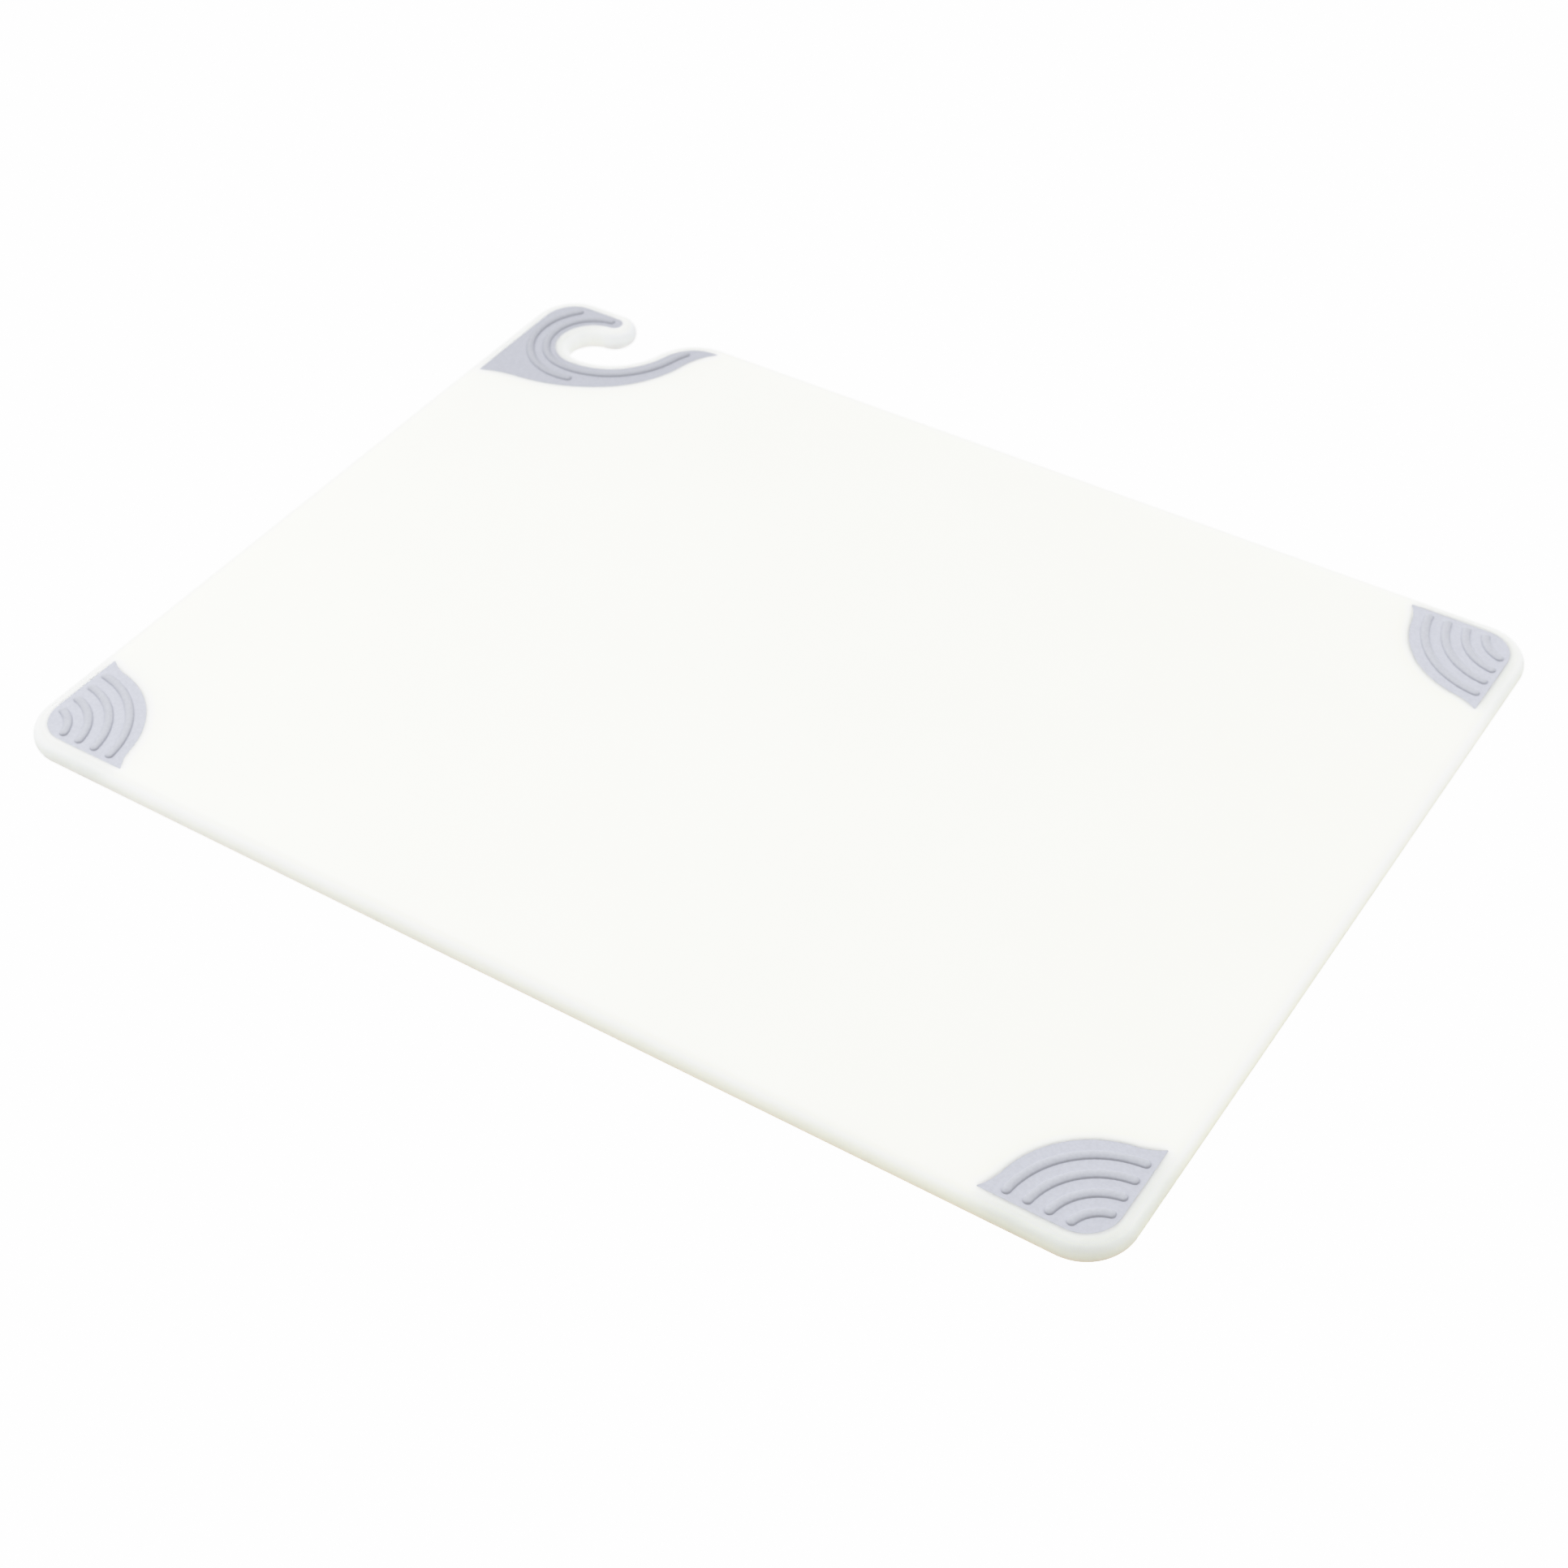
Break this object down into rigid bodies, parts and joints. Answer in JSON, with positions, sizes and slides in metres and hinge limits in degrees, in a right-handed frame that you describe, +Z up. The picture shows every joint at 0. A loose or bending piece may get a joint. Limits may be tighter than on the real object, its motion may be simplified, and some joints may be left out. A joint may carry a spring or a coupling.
{
  "type": "cutting board",
  "caption": "Flat rectangular cutting board with a full round edge, ribbed non-slip corner grips on both faces and an open hook in one corner for hanging.",
  "frame": {"origin": "centre of the board's plan, on the plane that the lower ribs rest on", "axes": "+X along the long side, +Y along the short side towards the hook's side, +Z up out of the working face; the hook is at the -X +Y corner"},
  "size_m": [0.6096, 0.4572, 0.0147],
  "materials": {
    "panel_plastic": "fine matte grain",
    "grip_elastomer": "soft matte"
  },
  "bodies": {
    "root": {"board_panel": "panel_plastic", "front_left_grip": "grip_elastomer", "front_right_grip": "grip_elastomer", "back_right_grip": "grip_elastomer", "hook_grip": "grip_elastomer"}
  },
  "joints": []
}
